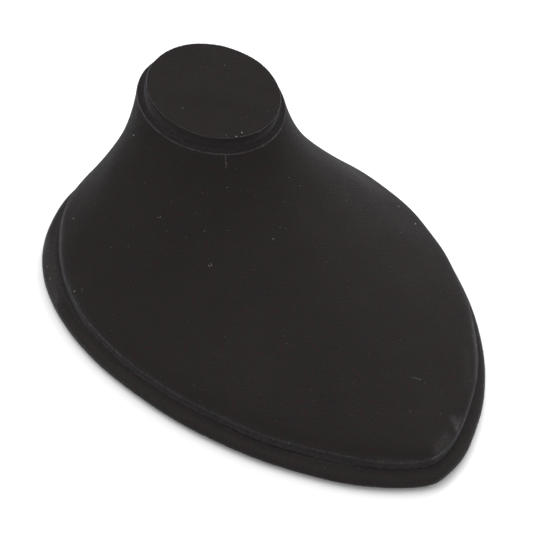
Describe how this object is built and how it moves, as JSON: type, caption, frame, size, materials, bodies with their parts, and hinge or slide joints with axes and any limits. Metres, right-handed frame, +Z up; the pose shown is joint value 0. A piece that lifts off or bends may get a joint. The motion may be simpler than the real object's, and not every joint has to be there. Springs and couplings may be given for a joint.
{
  "type": "necklace display stand",
  "caption": "Low velvet-covered necklace bust: a chest that flares from a tilted round neck with a cap, on a shield-shaped wrapped base.",
  "frame": {"origin": "on the floor, under the middle of the base's length and width", "axes": "+Z up, +Y from the chest's tip to the back of the neck, +X to the wearer's left"},
  "size_m": [0.16, 0.2146, 0.072],
  "materials": {
    "velvet": "short black pile, matte",
    "liner": "thin pressed felt",
    "board": "raw fibreboard",
    "moulding": "matte"
  },
  "bodies": {
    "root": {"base_liner": "liner", "base_board": "board", "base_velvet": "velvet", "bust_form": "moulding", "bust_velvet": "velvet", "cap_board": "board", "cap_velvet": "velvet"}
  },
  "joints": []
}
